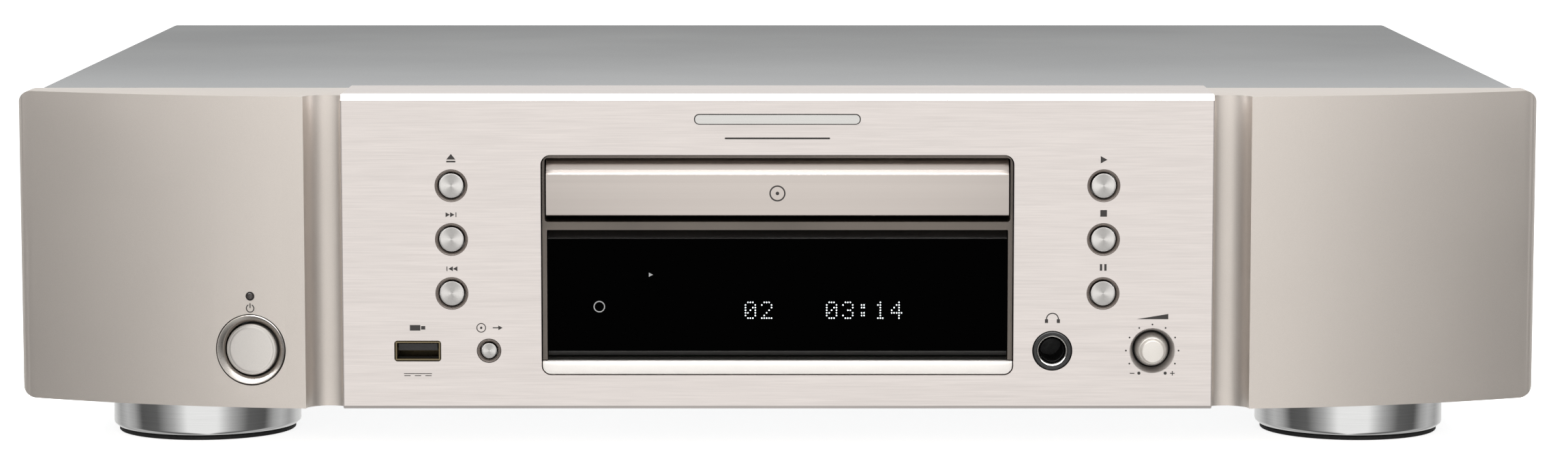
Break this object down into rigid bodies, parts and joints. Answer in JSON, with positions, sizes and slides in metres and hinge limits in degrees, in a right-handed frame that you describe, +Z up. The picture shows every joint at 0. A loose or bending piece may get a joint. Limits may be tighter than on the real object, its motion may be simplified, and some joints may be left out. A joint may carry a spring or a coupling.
{
  "type": "cd player",
  "caption": "Full-width hi-fi CD player with a curved-cheek front, sliding disc tray, black display window, push buttons, level knob and round metal feet.",
  "frame": {"origin": "on the standing surface, under the middle of the player's overall box", "axes": "front faces -Y, +X to the right as seen from the front, +Z up"},
  "size_m": [0.44, 0.341, 0.105],
  "materials": {
    "plate_aluminium": "fine horizontal brushing, clear anodised",
    "cheek_champagne": "satin metallic champagne lacquer",
    "cover_grey": "fine textured grey paint",
    "steel_sheet": "zinc plated sheet",
    "bright_metal": "polished",
    "satin_silver": "spun satin",
    "black_plastic": "moulded black",
    "window_gloss": "high gloss black",
    "taupe_plastic": "satin dark taupe",
    "circuit_board": "solder resist",
    "rubber": "moulded rubber",
    "lamp_lens": "clear amber lens, unlit",
    "white_plastic": "natural acetal",
    "red_plastic": "moulded red",
    "transformer_steel": "laminated core with tape-wrapped winding"
  },
  "bodies": {
    "case": {"front_plate": "plate_aluminium", "window_sill": "plate_aluminium", "left_cheek": "cheek_champagne", "right_cheek": "cheek_champagne", "top_cover": "cover_grey", "chassis_pan": "steel_sheet", "front_subpanel": "steel_sheet", "rear_panel": "steel_sheet", "clamp_bridge": "steel_sheet", "window_bezel": "taupe_plastic", "display_window": "window_gloss", "display_module": "window_gloss", "front_board": "circuit_board", "main_board": "circuit_board", "power_board": "circuit_board", "transformer": "transformer_steel", "filter_capacitor": "black_plastic", "mains_inlet": "black_plastic", "rca_left": "white_plastic", "rca_right": "red_plastic", "coax_jack": "black_plastic", "optical_out": "black_plastic", "remote_jack": "black_plastic", "headphone_jack": "black_plastic", "level_control": "black_plastic", "usb_socket": "bright_metal", "power_bezel": "satin_silver", "standby_lamp": "lamp_lens", "loader_frame": "black_plastic", "loading_motor": "satin_silver", "drive_belt": "rubber", "foot_front_left": "bright_metal", "foot_pad_front_left": "rubber", "foot_front_right": "bright_metal", "foot_pad_front_right": "rubber", "foot_rear_left": "bright_metal", "foot_pad_rear_left": "rubber", "foot_rear_right": "bright_metal", "foot_pad_rear_right": "rubber"},
    "tray": {"tray": "black_plastic", "tray_door": "plate_aluminium"},
    "loading_gear": {"loading_gear": "white_plastic"},
    "motor_pulley": {"motor_pulley": "white_plastic"},
    "clamp_puck": {"clamp_puck": "black_plastic"},
    "pickup_base": {"pickup_base": "steel_sheet", "spindle_motor": "satin_silver", "guide_rod_left": "bright_metal", "guide_rod_right": "bright_metal"},
    "turntable": {"turntable": "black_plastic"},
    "pickup_sled": {"pickup_sled": "black_plastic"},
    "sled_gear": {"sled_gear": "white_plastic"},
    "level_knob": {"level_knob": "satin_silver"},
    "eject_button": {"eject_button": "satin_silver"},
    "next_button": {"next_button": "satin_silver"},
    "previous_button": {"previous_button": "satin_silver"},
    "play_button": {"play_button": "satin_silver"},
    "stop_button": {"stop_button": "satin_silver"},
    "pause_button": {"pause_button": "satin_silver"},
    "input_button": {"input_button": "satin_silver"},
    "power_button": {"power_button": "satin_silver"}
  },
  "joints": [
    {"name": "tray_slide", "type": "slide", "parent": "case", "child": "tray", "axis": [0, -1, 0], "range_m": [0, 0.138]},
    {"name": "loading_gear_spin", "type": "hinge", "parent": "case", "child": "loading_gear", "pos_m": [-0.052, -0.1215, 0.068], "axis": [0, 0, 1], "range_deg": [-1000, 0]},
    {"name": "motor_pulley_spin", "type": "hinge", "parent": "case", "child": "motor_pulley", "pos_m": [-0.025, -0.1215, 0.062], "axis": [0, 0, 1], "range_deg": [-2240, 0]},
    {"name": "clamp_puck_spin", "type": "hinge", "parent": "case", "child": "clamp_puck", "pos_m": [0, -0.093, 0.088], "axis": [0, 0, 1], "continuous": true},
    {"name": "pickup_base_tilt", "type": "hinge", "parent": "case", "child": "pickup_base", "pos_m": [0, 0.012, 0.063], "axis": [1, 0, 0], "range_deg": [0, 3.5]},
    {"name": "turntable_spin", "type": "hinge", "parent": "pickup_base", "child": "turntable", "pos_m": [0, -0.093, 0.075], "axis": [0, 0, 1], "continuous": true},
    {"name": "sled_slide", "type": "slide", "parent": "pickup_base", "child": "pickup_sled", "axis": [0, 1, 0], "range_m": [0, 0.035]},
    {"name": "sled_gear_spin", "type": "hinge", "parent": "pickup_base", "child": "sled_gear", "pos_m": [0.0235, -0.05, 0.066], "axis": [0, 0, 1], "range_deg": [-290, 0]},
    {"name": "level_turn", "type": "hinge", "parent": "case", "child": "level_knob", "pos_m": [0.1072, -0.168, 0.03155], "axis": [0, 1, 0], "range_deg": [0, 300]},
    {"name": "power_press", "type": "slide", "parent": "case", "child": "power_button", "axis": [0.1508, 0.9886, 0], "range_m": [0, 0.0018], "stiffness_N_per_m": 400},
    {"name": "eject_press", "type": "slide", "parent": "case", "child": "eject_button", "axis": [0, 1, 0], "range_m": [0, 0.001], "stiffness_N_per_m": 300},
    {"name": "next_press", "type": "slide", "parent": "case", "child": "next_button", "axis": [0, 1, 0], "range_m": [0, 0.001], "stiffness_N_per_m": 300},
    {"name": "previous_press", "type": "slide", "parent": "case", "child": "previous_button", "axis": [0, 1, 0], "range_m": [0, 0.001], "stiffness_N_per_m": 300},
    {"name": "play_press", "type": "slide", "parent": "case", "child": "play_button", "axis": [0, 1, 0], "range_m": [0, 0.001], "stiffness_N_per_m": 300},
    {"name": "stop_press", "type": "slide", "parent": "case", "child": "stop_button", "axis": [0, 1, 0], "range_m": [0, 0.001], "stiffness_N_per_m": 300},
    {"name": "pause_press", "type": "slide", "parent": "case", "child": "pause_button", "axis": [0, 1, 0], "range_m": [0, 0.001], "stiffness_N_per_m": 300},
    {"name": "input_press", "type": "slide", "parent": "case", "child": "input_button", "axis": [0, 1, 0], "range_m": [0, 0.001], "stiffness_N_per_m": 300}
  ],
  "couplings": [
    {"joint": "loading_gear_spin", "follows": "tray_slide", "rad_per_m": -125},
    {"joint": "motor_pulley_spin", "follows": "tray_slide", "rad_per_m": -281.25},
    {"joint": "sled_gear_spin", "follows": "sled_slide", "rad_per_m": -142.86}
  ]
}
